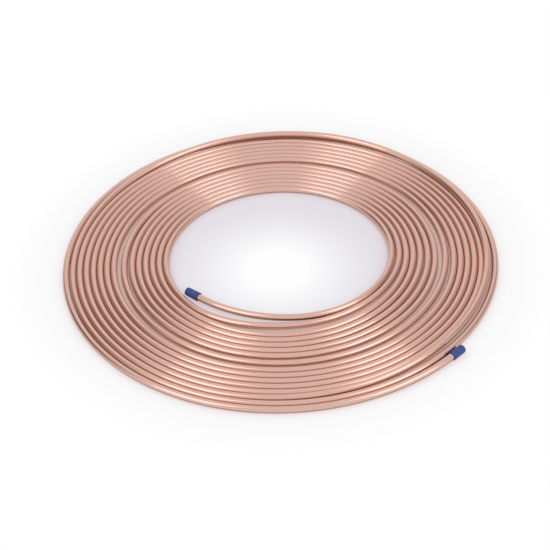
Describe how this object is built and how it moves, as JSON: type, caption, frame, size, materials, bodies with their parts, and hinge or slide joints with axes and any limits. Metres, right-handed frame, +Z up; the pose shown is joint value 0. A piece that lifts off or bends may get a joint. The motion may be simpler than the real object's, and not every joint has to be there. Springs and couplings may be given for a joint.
{
  "type": "copper tube coil",
  "caption": "Flat single-layer pancake coil of soft round copper tube, wound as one spiral with an open middle, each tube end closed by a blue push-on plastic cap.",
  "frame": {"origin": "centre of the coil's outside, at floor level", "axes": "+Z up, square to the flat coil; the front, where the inner end lies across the open middle, faces -Y; the outer end is at front right"},
  "size_m": [0.4156, 0.4188, 0.0085],
  "materials": {
    "copper": "bright drawn copper, bare, lightly satin",
    "cap_plastic": "matt blue soft vinyl"
  },
  "bodies": {
    "root": {"copper_tube": "copper", "inner_end_cap": "cap_plastic", "outer_end_cap": "cap_plastic"}
  },
  "joints": []
}
